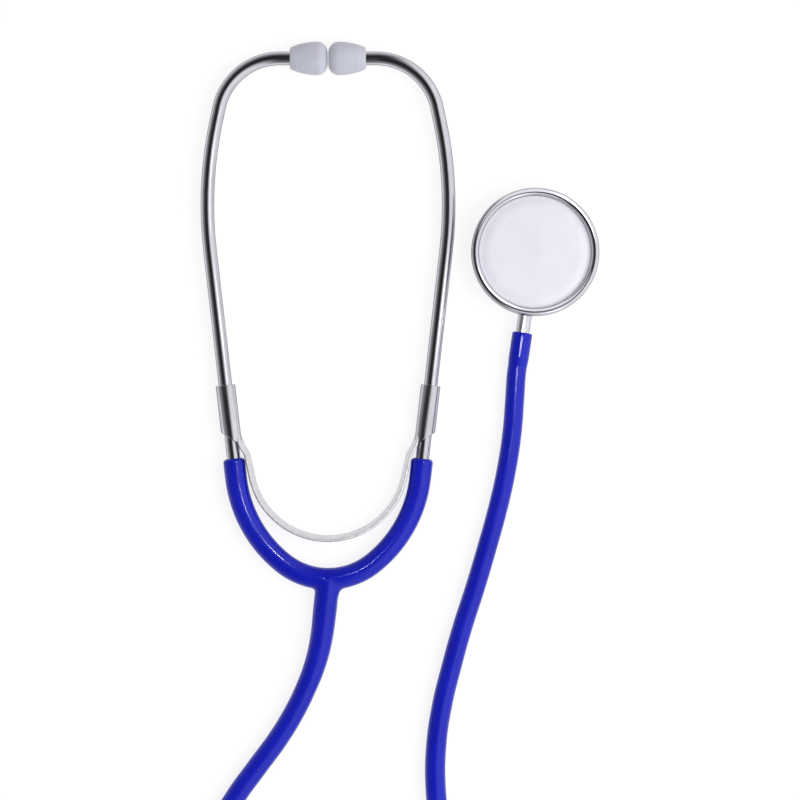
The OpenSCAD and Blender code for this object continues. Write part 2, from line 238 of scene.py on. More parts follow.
def finish_piece(bm, name, place=None, sharp=40):
    """Merges, turns the faces outwards, lays a drawing in mm in its place and makes the object."""
    bmesh.ops.remove_doubles(bm, verts=bm.verts, dist=MERGE_MM if place else MERGE_MM * MM)
    bmesh.ops.recalc_face_normals(bm, faces=bm.faces)
    if place:
        bmesh.ops.transform(bm, verts=bm.verts, matrix=Matrix.Scale(MM, 4) @ place)
    mesh = bpy.data.meshes.new(name)
    bm.to_mesh(mesh)
    bm.free()
    mesh.shade_smooth()
    mesh.set_sharp_from_angle(angle=radians(sharp))
    print(name, "faces:", len(mesh.polygons))
    return add_object(name, mesh)


# %% Hose with its rim
IN_STEM_L = 3.0
IN_STEM_SCALE = 0.98
STEM_R = 2.4
CUFF_R = 3.6
CUFF_SWELL_L = 3.0
# The straight part: a short step at either end keeps its shading flat.
CUFF_STRAIGHTS = (0.5, 7.4, 0.5)
# The rounded rim: how far each ring rises, and its scale.
CUFF_ROUNDING = ((0.45, 0.96), (0.15, 0.9))
CUFF_BORE_R = STEM_R + 0.12
CUFF_BORE_L = 6.0
NEAR_END = 10.0

bm = bmesh.new()
bm.from_mesh(hose_mesh)
bmesh.ops.remove_doubles(bm, verts=bm.verts, dist=MERGE_MM * MM)
open_edges = [e for e in bm.edges if e.is_boundary]
rim = [e for e in open_edges if (e.verts[0].co / MM - cuff_end).length < NEAR_END]
start_rim = [e for e in open_edges if e not in rim]
rim = grow_ring(bm, rim, cuff_up * CUFF_SWELL_L * MM, CUFF_R / HOSE_LOW_R)
for straight_l in CUFF_STRAIGHTS:
    rim = grow_ring(bm, rim, cuff_up * straight_l * MM)
rim_r = CUFF_R
for rise, scale in CUFF_ROUNDING:
    rim = grow_ring(bm, rim, cuff_up * rise * MM, scale)
    rim_r *= scale
rim = grow_ring(bm, rim, Vector(), CUFF_BORE_R / rim_r)
rim = grow_ring(bm, rim, -cuff_up * CUFF_BORE_L * MM)
start_rim = grow_ring(bm, start_rim, -stem_down * IN_STEM_L * MM, IN_STEM_SCALE)
bmesh.ops.holes_fill(bm, edges=rim + start_rim, sides=0)
hose = finish_piece(bm, "hose", sharp=50)
hose_path += [HOSE_TIP * MM]
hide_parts("hose_drop", "hose_loop", "hose_rise", "hose_end")
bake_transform(hose)

# %% [markdown]
# ## The Y tube
# The Y is moulded in one with the hose, so its corners are soft. It also has to bend: its arms spread
# with the ear tubes. A copy of the solid has the right outside but long thin triangles, which would
# crease. A voxel remesh makes them even, and a light smoothing softens every corner. The copy is then
# cut down the middle, one half for each ear tube. The softened end of the stem is cut off
# too, because there the hose carries on.

# %% Y tube in two halves
SIDES = (("left", -1), ("right", 1))
SOLID_MERGE = 1e-6
VOXEL = 0.00042
SOFTEN_ROUNDS = 6
SOFTEN_BY = 0.5
STEM_CUT_L = 1.5


def even_copy(node, name):
    """A copy of a solid's mesh with even faces, ready to bend."""
    bm = bmesh.new()
    bm.from_mesh(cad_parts[node].data)
    bmesh.ops.remove_doubles(bm, verts=bm.verts, dist=SOLID_MERGE)
    mesh = bpy.data.meshes.new(name)
    bm.to_mesh(mesh)
    bm.free()
    copy = add_object(name, mesh)
    remesh = copy.modifiers.new("even", "REMESH")
    remesh.mode = "VOXEL"
    remesh.voxel_size = VOXEL
    return as_mesh(copy)


def all_of(bm):
    """Everything in a bmesh, for operators that take mixed geometry."""
    return bm.verts[:] + bm.edges[:] + bm.faces[:]


def half(mesh, name, sign):
    """The left (-1) or right (1) half of the Y's mesh, cut at the headset's middle and above its stem's end."""
    bm = bmesh.new()
    bm.from_mesh(mesh)
    for _ in range(SOFTEN_ROUNDS):
        bmesh.ops.smooth_vert(
            bm, verts=bm.verts, factor=SOFTEN_BY, use_axis_x=True, use_axis_y=True, use_axis_z=True,
        )
    for point, across in ((HEADSET_AT, (-sign, 0, 0)), (hose_from - STEM_CUT_L * stem_down, stem_down)):
        bmesh.ops.bisect_plane(bm, geom=all_of(bm), plane_co=point * MM, plane_no=across, clear_outer=True)
    return finish_piece(bm, name, sharp=60)


y_even = even_copy("y_tube", "y_even")
y_halves = []
for side, sign in SIDES:
    y_half = half(y_even, f"y_tube_{side}", sign)
    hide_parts("y_tube")
    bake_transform(y_half)
    y_halves.append(y_half)
bpy.data.meshes.remove(y_even)

# %% [markdown]
# ## Drawing along a path
# The ear tubes and the spring are bars bent from straight runs and arcs, as on a bending jig. A pen
# keeps its place and heading. For a run the ring of edges is extruded straight on, and for an arc it is
# spun about the arc's centre. Spin gives true arcs, which a chrome finish needs: on a polished tube the
# eye sees every kink.

# %% Bars along a path
BEND_STEP = radians(2.0)


def pen_on(pen, size, turn):
    """The pen (x, y, heading) after a run (length, 0) or a bend (radius, turn)."""
    x, y, heading = pen
    if turn == 0:
        return (x + size * cos(heading), y + size * sin(heading), heading)
    after = heading + turn
    return (x + size * (sin(after) - sin(heading)), y - size * (cos(after) - cos(heading)), after)


def path_end(pen, path):
    """The pen at the end of a whole path of runs and bends."""
    for stretch in path:
        pen = pen_on(pen, *stretch)
    return pen


def draw_bar(bm, edges, pen, path):
    """Draws a ring of edges along a path of runs and bends, and returns the last ring."""
    for size, turn in path:
        x, y, heading = pen
        if turn == 0:
            edges = grow_ring(bm, edges, Vector((cos(heading), sin(heading), 0)) * size)
        else:
            centre = (x - size * sin(heading), y + size * cos(heading), 0)
            made = bmesh.ops.spin(
                bm, geom=edges, cent=centre, axis=(0, 0, 1), angle=turn,
                steps=max(2, round(abs(turn) / BEND_STEP)), use_merge=False,
            )["geom_last"]
            edges = ring_edges(made)
        pen = pen_on(pen, size, turn)
    return edges


def ring_on(bm, pen, radius, sides):
    """A circle of edges square to the pen's heading."""
    x, y, heading = pen
    verts = bmesh.ops.create_circle(bm, segments=sides, radius=radius)["verts"]
    turned_to = Matrix.Rotation(heading, 4, "Z") @ Matrix.Rotation(pi / 2, 4, "Y")
    bmesh.ops.transform(bm, verts=verts, matrix=Matrix.Translation((x, y, 0)) @ turned_to)
    return [e for e in bm.edges if e.verts[0] in verts and e.verts[1] in verts]


# %% Arms of the Y
LEAN = radians(6.5)
U_R = 25.4
U_TURN = radians(38.5)
ARM_R = 45.0
SOCKET_L = 7.0
socket_floor = path_end((0, 0, 0), [(U_R, U_TURN), (ARM_R, pi / 2 - LEAN - U_TURN)])
mouth = pen_on(socket_floor, SOCKET_L, 0)
print("mouth of the right arm:", [round(v, 2) for v in mouth])

# %% [markdown]
# ## Soft lips
# The arms of the Y end in round lips. Close to the mouth, each vertex that lies outside the round profile
# is drawn in to it; the socket inside stays as it is.

# %% Lips of the arms
ARM_OUT_R = 3.95
LIP_R = 1.45
to_headset = headset.inverted()


def round_lip(piece, sign):
    """Draws the vertices near the mouth of an arm in to a round lip."""
    end = Vector((mouth[0] * sign, mouth[1], 0))
    out = Vector((cos(mouth[2]) * sign, sin(mouth[2]), 0))
    for vert in piece.data.vertices:
        from_end = to_headset @ (vert.co / MM) - end
        along = from_end.dot(out)
        if along < -LIP_R:
            continue
        off = from_end - along * out
        limit = ARM_OUT_R - LIP_R + sqrt(max(LIP_R**2 - (LIP_R + along) ** 2, 0))
        if off.length > limit:
            vert.co = headset @ (end + along * out + off * limit / off.length) * MM


for (_, sign), y_half in zip(SIDES, y_halves):
    round_lip(y_half, sign)
print("lip radius:", LIP_R)

# %% [markdown]
# ## The ear tubes
# Each is a chrome tube that leaves its arm leaning outwards, bows gently inwards, and turns through a
# tight bend to its tip. Both ends are pushed into something, but the wall is still drawn: the ring is
# folded inwards and a little way back, then closed. The left tube is the right one mirrored.

# %% Ear tubes
TUBE_R = 2.4
TUBE_SIDES = 48
TUBE_WALL = 0.8
TUBE_RUN_L = 74.0
TUBE_BOW_R = 141.0
TUBE_BOW = radians(18.5)
TUBE_LEAD_L = 5.0
TUBE_BEND_R = 22.0
BORE_L = 4.0
END_GAP = 0.2
TIP_L = 13.2
TIP_GAP = 0.4
TIP_SOCKET_L = 8.0

tube_start = pen_on(socket_floor, END_GAP, 0)
tube_bends = [
    (SOCKET_L - END_GAP + TUBE_RUN_L, 0),
    (TUBE_BOW_R, TUBE_BOW),
    (TUBE_LEAD_L, 0),
    (TUBE_BEND_R, pi / 2 + LEAN - TUBE_BOW),
]
bend_end_x, tip_y, _ = path_end(tube_start, tube_bends)
tip_base_x = TIP_GAP / 2 + TIP_L
tube_path = tube_bends + [(bend_end_x - tip_base_x + TIP_SOCKET_L - END_GAP, 0)]


def fold_in(bm, edges, inwards):
    """Ends a tube: its wall, a short way down the bore, and a closing face."""
    edges = grow_ring(bm, edges, Vector(), 1 - TUBE_WALL / TUBE_R)
    edges = grow_ring(bm, edges, Vector(inwards) * BORE_L)
    bmesh.ops.holes_fill(bm, edges=edges, sides=0)


def mirror_left(bm, sign):
    """Mirrors a drawing of the right side when it is for the left, sign -1."""
    if sign < 0:
        bmesh.ops.scale(bm, verts=bm.verts, vec=(-1, 1, 1))


def ear_tube(side, sign):
    """One ear tube, from the floor of its socket in the Y to its end in the tip."""
    bm = bmesh.new()
    first = ring_on(bm, tube_start, TUBE_R, TUBE_SIDES)
    last = draw_bar(bm, first, tube_start, tube_path)
    fold_in(bm, last, (1, 0, 0))
    fold_in(bm, first, (cos(tube_start[2]), sin(tube_start[2]), 0))
    mirror_left(bm, sign)
    piece = finish_piece(bm, f"ear_tube_{side}_chrome", headset)
    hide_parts(f"ear_tube_{side}")
    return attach(piece, f"{side}_ear_tube")


ear_tubes = [ear_tube(side, sign) for side, sign in SIDES]

# %% [markdown]
# ## The leaf spring
# One bright steel strip bows between the ear tubes, and its ends are rolled round them as sleeves. The
# strip starts as a small rectangle with rounded corners, leaning outwards at the top, and is drawn along
# its path, one half at a time. Just above each arm it steps outwards and sinks into its sleeve. A sleeve
# is a thin rectangle spun most of the way round its tube, which leaves the slit where the sheet ends
# meet. A slanting cut makes the sleeve longer on its inner side, where it runs into the strip.

# %% Path of the strip
SHEET_T = 1.0
STRIP_W = 6.0
STRIP_TILT = radians(12)
STRIP_LEG_L = 8.0
STRIP_SPLAY = radians(6)
STRIP_BEND_R = 4.0
STRIP_TURN = radians(25)
STRIP_IN_SHEET = 0.65
SIDE_GAP = 0.4
TUBE_FIT_R = TUBE_R + 0.05

strip_in = TUBE_FIT_R + STRIP_IN_SHEET * SHEET_T
step_in = ARM_OUT_R + SIDE_GAP + SHEET_T / 2 - strip_in
bends_in = STRIP_BEND_R * (1 + cos(STRIP_SPLAY) - 2 * cos(STRIP_TURN))
step_l = (step_in - bends_in) / sin(STRIP_TURN)
step_h = STRIP_BEND_R * (2 * sin(STRIP_TURN) - sin(STRIP_SPLAY)) + step_l * cos(STRIP_TURN)
leave_x, leave_y, leave_heading = pen_on(mouth, step_h + SIDE_GAP, 0)
up_tube = Vector((cos(leave_heading), sin(leave_heading), 0))
off_tube = Vector((-up_tube.y, up_tube.x, 0))
leg_turn = leave_heading - STRIP_SPLAY
up_leg = Vector((cos(leg_turn), sin(leg_turn), 0))
step_path = [(-STRIP_BEND_R, STRIP_SPLAY - STRIP_TURN), (step_l, 0), (STRIP_BEND_R, STRIP_TURN)]
step_x, step_y, _ = path_end((0, 0, leg_turn), step_path)
leave_edge = Vector((leave_x, leave_y, 0)) + strip_in * off_tube
leg_end = leave_edge - Vector((step_x, step_y, 0)) - STRIP_LEG_L * up_leg
bow_r = leg_end.x / sin(leg_turn)
bow_y = leg_end.y - bow_r * (1 - cos(leg_turn))
strip_path = [(bow_r, leg_turn), (STRIP_LEG_L / 2, 0), (STRIP_LEG_L / 2, 0)] + step_path
print("bow radius:", round(bow_r, 2), "bow middle:", round(bow_y, 2))

# %% Strip
STRIP_EDGE = 0.3
SINK_L = 5.0
SINK_IN = 0.9
SINK_SCALE = 0.6


def sharp_edges(bm, angle):
    """Edges where two faces meet at more than this angle, in degrees."""
    return [e for e in bm.edges if len(e.link_faces) == 2 and e.calc_face_angle() > radians(angle)]


def bevel(bm, edges, size, segments):
    """Rounds these edges."""
    bmesh.ops.bevel(
        bm, geom=edges, offset=size, offset_type="OFFSET", segments=segments, profile=0.5,
        affect="EDGES", material=-1,
    )


def strip_half():
    """Half of the strip, from the middle of its bow into its sleeve."""
    bm = bmesh.new()
    lean = Matrix.Rotation(STRIP_TILT, 3, "X")
    signs = ((-1, -1), (1, -1), (1, 1), (-1, 1))
    corners = [lean @ Vector((0, y * SHEET_T / 2, z * STRIP_W / 2)) for y, z in signs]
    verts = [bm.verts.new(corner + Vector((0, bow_y, 0))) for corner in corners]
    edges = [bm.edges.new(pair) for pair in zip(verts, verts[1:] + verts[:1])]
    last = draw_bar(bm, edges, (0, bow_y, 0), strip_path)
    last = grow_ring(bm, last, up_tube * SINK_L - off_tube * SINK_IN, SINK_SCALE)
    bmesh.ops.holes_fill(bm, edges=last, sides=0)
    bevel(bm, sharp_edges(bm, 60), STRIP_EDGE, 3)
    return bm


def spring_piece(bm, name, side, sign):
    """A piece of the spring on one side, mirrored for the left and laid in place."""
    mirror_left(bm, sign)
    piece = finish_piece(bm, f"{name}_{side}", headset, sharp=50)
    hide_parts("leaf_spring")
    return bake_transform(piece)


strips = [spring_piece(strip_half(), "leaf_spring", side, sign) for side, sign in SIDES]

# %% Sleeve
SLEEVE_OUT_R = TUBE_FIT_R + SHEET_T
SLEEVE_L = 16.5
SLEEVE_RISE = 9.5
SLEEVE_POINT = 5.0
SLEEVE_SLIT = 0.6
SLEEVE_EDGE = 0.18
SLEEVE_STEPS = 64
on_tube = (
    Matrix.Translation((mouth[0], mouth[1], 0))
    @ Matrix.Rotation(mouth[2] - pi / 2, 4, "Z")
    @ Matrix.Rotation(-pi / 2, 4, "X")
)


def sleeve():
    """A rolled sleeve, drawn about the Z axis with its inner side towards -X, then laid on the right tube."""
    bm = bmesh.new()
    low = SLEEVE_RISE - SLEEVE_POINT
    high = SLEEVE_RISE + SLEEVE_L
    wall = [(TUBE_FIT_R, low), (SLEEVE_OUT_R, low), (SLEEVE_OUT_R, high), (TUBE_FIT_R, high)]
    verts = [bm.verts.new((r, 0, z)) for r, z in wall]
    face = bm.faces.new(verts)
    slit = SLEEVE_SLIT / SLEEVE_OUT_R
    bmesh.ops.rotate(bm, verts=verts, cent=(0, 0, 0), matrix=Matrix.Rotation(pi / 2 + slit / 2, 3, "Z"))
    bmesh.ops.spin(
        bm, geom=[face], cent=(0, 0, 0), axis=(0, 0, 1), angle=2 * pi - slit, steps=SLEEVE_STEPS,
        use_merge=False,
    )
    cut = Vector((-SLEEVE_POINT, 0, 2 * SLEEVE_OUT_R)).normalized()
    bmesh.ops.bisect_plane(
        bm, geom=all_of(bm), plane_co=(-SLEEVE_OUT_R, 0, low), plane_no=cut, clear_inner=True,
    )
    bmesh.ops.holes_fill(bm, edges=[e for e in bm.edges if e.is_boundary], sides=0)
    bmesh.ops.recalc_face_normals(bm, faces=bm.faces)
    bevel(bm, sharp_edges(bm, 50), SLEEVE_EDGE, 2)
    bmesh.ops.transform(bm, verts=bm.verts, matrix=on_tube)
    return bm


sleeves = [spring_piece(sleeve(), "spring_sleeve", side, sign) for side, sign in SIDES]

# %% [markdown]
# ## Turned pieces
# The ear tips and everything round on the chest piece are turned shapes. A rough outline of a few
# vertices is spun once round, and its corners are then rounded with bevels, each with its own size. That
# is how a turner works too: first the rough form, then the edges.

# %% Turning an outline
SPIN_MERGE = 0.001
AT_CORNER = 0.01


def turned(outline, steps):
    """A closed outline of (radius, height) pairs, spun once round the Z axis."""
    bm = bmesh.new()
    verts = [bm.verts.new((r, 0, z)) for r, z in outline]
    edges = [bm.edges.new(pair) for pair in zip(verts, verts[1:] + verts[:1])]
    bmesh.ops.spin(
        bm, geom=verts + edges, cent=(0, 0, 0), axis=(0, 0, 1), angle=2 * pi, steps=steps, use_merge=True,
    )
    bmesh.ops.remove_doubles(bm, verts=bm.verts, dist=SPIN_MERGE)
    loose = [e for e in bm.edges if not e.link_faces]
    bmesh.ops.delete(bm, geom=loose, context="EDGES")
    bmesh.ops.recalc_face_normals(bm, faces=bm.faces)
    return bm


def at_corner(vert, r, z):
    """Whether a vertex lies on the circle of this radius and height."""
    return abs(vert.co.xy.length - r) < AT_CORNER and abs(vert.co.z - z) < AT_CORNER


def round_corners(bm, corners, size, segments):
    """Bevels the circular edges at these (radius, height) corners."""
    rims = [e for e in bm.edges if any(all(at_corner(v, r, z) for v in e.verts) for r, z in corners)]
    bevel(bm, rims, size, segments)


# %% [markdown]
# ## The ear tips
# The tips are soft, milky plastic: a narrow base, a bulging flank that widens towards the ear, and a full
# round shoulder with a sound hole in the nose. The flank is one shallow arc of points, and the shoulder is
# one large bevel on the square corner above it.

# %% Ear tips
TIP_STEPS = 96
TIP_R = 5.9
TIP_BASE_R = 3.8
TIP_SHOULDER = 3.6
TIP_HOLE_R = 1.2
FLANK_STEPS = 12
# Each corner, the size of its bevel, and the bevel's segments.
TIP_ROUNDING = (
    ((TIP_R, TIP_L), TIP_SHOULDER, 16),
    ((TIP_BASE_R, 0), 0.5, 4),
    ((TUBE_FIT_R, 0), 0.25, 3),
    ((TIP_HOLE_R, TIP_L), 0.35, 3),
)
flank_h = TIP_L - TIP_SHOULDER
flank_r = (flank_h**2 + (TIP_R - TIP_BASE_R) ** 2) / (2 * (TIP_R - TIP_BASE_R))


def flank_at(z):
    """Radius of the bulging flank at a height above the base."""
    return TIP_R - flank_r + sqrt(flank_r**2 - (flank_h - z) ** 2)


def ear_tip(side, sign):
    """One tip, turned with its base at 0 and then laid with its nose towards the other tip."""
    flank = [(flank_at(z), z) for z in (flank_h * i / FLANK_STEPS for i in range(FLANK_STEPS))]
    hole = [(TIP_HOLE_R, TIP_L), (TIP_HOLE_R, TIP_SOCKET_L)]
    socket = [(TUBE_FIT_R, TIP_SOCKET_L), (TUBE_FIT_R, 0)]
    bm = turned(flank + [(TIP_R, TIP_L)] + hole + socket, TIP_STEPS)
    for corner, size, segments in TIP_ROUNDING:
        round_corners(bm, [corner], size, segments)
    lay = Matrix.Translation((tip_base_x * sign, tip_y, 0)) @ Matrix.Rotation(-pi / 2 * sign, 4, "Y")
    piece = finish_piece(bm, f"ear_tip_{side}_soft", headset @ lay)
    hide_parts(f"ear_tip_{side}")
    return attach(piece, f"{side}_tip")


ear_tips = [ear_tip(side, sign) for side, sign in SIDES]

# %% [markdown]
# ## The chest piece
# A turned metal body holds the air chamber, a formed plastic disc closes it, and a bright ring with a
# full round rim is screwed on over the disc. The ring catches the light, and there a coarse circle would
# show, so all three are turned in many steps. The body keeps a flat back with a wide rounded edge, where
# fingers hold it.

# %% Body
ROUND_STEPS = 160
BODY_R = 21.0
BODY_FIT_R = BODY_R - 0.02
BACK_R = 21.75
BACK_EDGE = 4.4
FINE_EDGE = 0.25
SHOULDER_Z = 6.8
SEAT_Z = 9.4
CHAMBER_R = 19.0
CHAMBER_Z = 8.0


def on_chest(bm, name, node):
    """A finished piece of the chest piece, in place of one solid."""
    piece = finish_piece(bm, name, chest)
    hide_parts(node)
    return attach(piece, "chestpiece")


body_outline = [
    (0, 0), (BACK_R, 0), (BACK_R, SHOULDER_Z), (BODY_FIT_R, SHOULDER_Z), (BODY_FIT_R, SEAT_Z),
    (CHAMBER_R, SEAT_Z), (0, CHAMBER_Z),
]
bm = turned(body_outline, ROUND_STEPS)
round_corners(bm, [(BACK_R, 0)], BACK_EDGE, 14)
round_corners(bm, [(BACK_R, SHOULDER_Z)], FINE_EDGE, 3)
chest_body = on_chest(bm, "chest_piece_body", "chest_body")

# %% Diaphragm
DISC_T = 0.8
DISC_RISE = 0.8
DISC_FOOT_R = 19.3
DISC_FOOT_EDGE = 0.8
DISC_TOP_R = 16.5
DISC_TOP_EDGE = 1.2
DISC_INSET = 0.4
disc_z = SEAT_Z + DISC_T
disc_top_z = disc_z + DISC_RISE

disc_outline = [
    (0, SEAT_Z + DISC_RISE), (DISC_TOP_R - DISC_INSET, SEAT_Z + DISC_RISE),
    (DISC_FOOT_R - DISC_INSET, SEAT_Z), (BODY_FIT_R, SEAT_Z), (BODY_FIT_R, disc_z),
    (DISC_FOOT_R, disc_z), (DISC_TOP_R, disc_top_z), (0, disc_top_z),
]
bm = turned(disc_outline, ROUND_STEPS)
round_corners(bm, [(DISC_TOP_R, disc_top_z)], DISC_TOP_EDGE, 8)
round_corners(bm, [(DISC_FOOT_R, disc_z)], DISC_FOOT_EDGE, 6)
disc = on_chest(bm, "diaphragm_disc", "diaphragm")

# %% Ring
RING_R = 22.5
RIM_W = 2.8
RIM_EDGE = RIM_W / 2 - 0.01
LIP_Z = 10.22
RING_TOP = 12.32
rim_in_r = RING_R - RIM_W

ring_outline = [
    (RING_R, SHOULDER_Z), (RING_R, RING_TOP), (rim_in_r, RING_TOP), (rim_in_r, LIP_Z), (BODY_R, LIP_Z),
    (BODY_R, SHOULDER_Z),
]
bm = turned(ring_outline, ROUND_STEPS)
round_corners(bm, [(RING_R, RING_TOP), (rim_in_r, RING_TOP)], RIM_EDGE, 12)
round_corners(bm, [(RING_R, SHOULDER_Z)], FINE_EDGE, 3)
ring = on_chest(bm, "retaining_ring_bright", "retaining_ring")

# %% Stem
STEM_IN_HOSE_L = 8.0
STEM_END_Y = 9.0

bm = bmesh.new()
stem_from = (0, -CHEST_Y - STEM_IN_HOSE_L, pi / 2)
first = ring_on(bm, stem_from, STEM_R, TUBE_SIDES)
last = draw_bar(bm, first, stem_from, [(CHEST_Y + STEM_IN_HOSE_L - STEM_END_Y, 0)])
fold_in(bm, first, (0, 1, 0))
fold_in(bm, last, (0, -1, 0))
bmesh.ops.translate(bm, verts=bm.verts, vec=(0, 0, STEM_Z))
stem = on_chest(bm, "chest_stem_bright", "chest_stem")

# %% [markdown]
# ## Finishes
# Handling leaves faint marks on everything, so one shared node group makes two masks in the object's own
# coordinates: broad smudges, and a fine grain. Each finish then decides what the marks do: on chrome they
# dull the reflection a little, on vinyl they cloud the colour.

# %% Shared marks


def colour(r, g, b):
    """A colour picked on screen, as the linear values that shaders use."""
    parts = [v / 255 for v in (r, g, b)]
    return tuple(v / 12.92 if v <= 0.04045 else ((v + 0.055) / 1.055) ** 2.4 for v in parts) + (1.0,)


def marks_group():
    """A node group with the two masks, each from 0 to 1."""
    group = bpy.data.node_groups.new("handling_marks", "ShaderNodeTree")
    for name, value in (("Smudge Size", 60.0), ("Grain Size", 1500.0)):
        socket = group.interface.new_socket(name, in_out="INPUT", socket_type="NodeSocketFloat")
        socket.default_value = value
    for name in ("Smudge", "Grain"):
        group.interface.new_socket(name, in_out="OUTPUT", socket_type="NodeSocketFloat")
    nodes, links = group.nodes, group.links
    ins = nodes.new("NodeGroupInput")
    outs = nodes.new("NodeGroupOutput")
    place = nodes.new("ShaderNodeTexCoord")
    for name, detail, low, high in (("Smudge", 3.0, 0.38, 0.68), ("Grain", 2.0, 0.3, 0.7)):
        noise = nodes.new("ShaderNodeTexNoise")
        noise.inputs["Detail"].default_value = detail
        links.new(place.outputs["Object"], noise.inputs["Vector"])
        links.new(ins.outputs[f"{name} Size"], noise.inputs["Scale"])
        spread = nodes.new("ShaderNodeMapRange")
        spread.inputs["From Min"].default_value = low
        spread.inputs["From Max"].default_value = high
        links.new(noise.outputs["Fac"], spread.inputs["Value"])
        links.new(spread.outputs["Result"], outs.inputs[name])
    return group


marks = marks_group()
print("shared group:", marks.name)

# %% Building a finish


class Finish:
    """A material with its Principled shader, the shared marks and a few ways to wire them."""

    def __init__(self, name, smudge_size, grain_size):
        self.material = bpy.data.materials.new(name)
        self.material.use_nodes = True
        self.nodes = self.material.node_tree.nodes
        self.links = self.material.node_tree.links
        self.shader = self.nodes["Principled BSDF"]
        masks = self.nodes.new("ShaderNodeGroup")
        masks.node_tree = marks
        masks.inputs["Smudge Size"].default_value = smudge_size
        masks.inputs["Grain Size"].default_value = grain_size
        self.smudge, self.grain = masks.outputs["Smudge"], masks.outputs["Grain"]
        print("finish:", name)

    def set(self, **values):
        """Constants on the shader's sockets, with _ for the spaces in their names."""
        for name, value in values.items():
            self.shader.inputs[name.replace("_", " ")].default_value = value

    def tint(self, mask, clean, marked):
        """A colour that runs from clean to marked with a mask."""
        mix = self.nodes.new("ShaderNodeMix")
        mix.data_type = "RGBA"
        mix.inputs["A"].default_value = clean
        mix.inputs["B"].default_value = marked
        self.links.new(mask, mix.inputs["Factor"])
        return mix.outputs["Result"]

    def between(self, mask, low, high):
        """A value that runs from low to high with a mask."""
        spread = self.nodes.new("ShaderNodeMapRange")
        spread.inputs["To Min"].default_value = low
        spread.inputs["To Max"].default_value = high
        self.links.new(mask, spread.inputs["Value"])
        return spread.outputs["Result"]

    def bump(self, height, strength, distance):
        """Dents the surface by a height."""
        bump = self.nodes.new("ShaderNodeBump")
        bump.inputs["Strength"].default_value = strength
        bump.inputs["Distance"].default_value = distance
        self.links.new(height, bump.inputs["Height"])
        self.links.new(bump.outputs["Normal"], self.shader.inputs["Normal"])

    def feed(self, output, name):
        """Wires an output to one of the shader's sockets."""
        self.links.new(output, self.shader.inputs[name])


# %% [markdown]
# ## Chrome and polished metal
# Polished metal has no colour of its own beyond a cool grey. Its look is the reflection, so the finish
# only sets how sharp that is: very sharp where clean, softer under the smudges. A dark specular tint dims
# it where the surface is seen edge-on, which draws a fine line round each tube. The ear tubes and the
# chest piece are the brightest, the rolled sleeves are a little duller, the drawn stem is satin, and the
# spring's strip keeps the grain of the sheet.

# %% Bright metal
EDGE_TINT = (0.2, 0.2, 0.22, 1.0)


def bright_metal(name, clean, smudged, roughness):
    """A polished metal whose smudges dull its colour and its reflections, roughness = (clean, smudged)."""
    made = Finish(name, smudge_size=80.0, grain_size=2400.0)
    made.set(Metallic=1.0, Specular_Tint=EDGE_TINT)
    made.feed(made.tint(made.smudge, clean, smudged), "Base Color")
    made.feed(made.between(made.smudge, *roughness), "Roughness")
    made.bump(made.grain, strength=0.02, distance=0.00002)
    return made


chrome = bright_metal("chrome_polished", colour(204, 204, 212), colour(194, 194, 202), (0.06, 0.16))
rolled = bright_metal("rolled_sleeve_bright", colour(206, 206, 212), colour(196, 196, 202), (0.14, 0.24))
metal = bright_metal("chest_metal_polished", colour(208, 208, 216), colour(198, 198, 206), (0.06, 0.16))
drawn = bright_metal("stem_satin", colour(220, 220, 226), colour(212, 212, 218), (0.26, 0.36))

# %% Spring steel
steel = Finish("spring_steel_satin", smudge_size=90.0, grain_size=900.0)
steel.set(Metallic=1.0)
steel.feed(steel.tint(steel.grain, colour(222, 222, 226), colour(206, 206, 210)), "Base Color")
steel.feed(steel.between(steel.grain, 0.3, 0.5), "Roughness")
steel.bump(steel.grain, strength=0.25, distance=0.0001)

# %% [markdown]
# ## Blue vinyl
# The hose is soft, dyed vinyl with a glossy skin. The dye clouds a little, and a fine pebble softens the
# glints. Where the hose is stretched over the stem its skin is pulled smooth, and there it shines.

# %% Blue vinyl


def blue_vinyl(name, roughness, pebble):
    """Dyed vinyl with a roughness = (low, high) and a fine pebble of a given strength."""
    made = Finish(name, smudge_size=45.0, grain_size=1800.0)
    made.set(IOR=1.5, Specular_IOR_Level=0.28)
    made.feed(made.tint(made.smudge, colour(18, 27, 178), colour(24, 33, 188)), "Base Color")
    made.feed(made.between(made.grain, *roughness), "Roughness")
    made.bump(made.grain, strength=pebble, distance=0.00004)
    return made


vinyl = blue_vinyl("blue_vinyl", roughness=(0.13, 0.17), pebble=0.03)
stretched = blue_vinyl("blue_vinyl_stretched", roughness=(0.08, 0.11), pebble=0.01)

# %% [markdown]
# ## Milky tips and the white disc
# The tips let some light into themselves, so they get a little subsurface scattering, with a scale of a
# few millimetres. The disc is thin white plastic: the shade of the sound port behind its middle is painted
# into its colour as a faint soft darker patch, a ball-shaped gradient placed there by a Mapping node.

# %% Milky tips
milky = Finish("milky_tip", smudge_size=260.0, grain_size=1600.0)
milky.set(IOR=1.45, Subsurface_Weight=0.35, Subsurface_Scale=0.002, Subsurface_Radius=(1.0, 0.95, 0.9))
milky.feed(milky.tint(milky.smudge, colour(207, 208, 220), colour(200, 201, 213)), "Base Color")
milky.feed(milky.between(milky.grain, 0.38, 0.48), "Roughness")
milky.bump(milky.grain, strength=0.05, distance=0.00003)
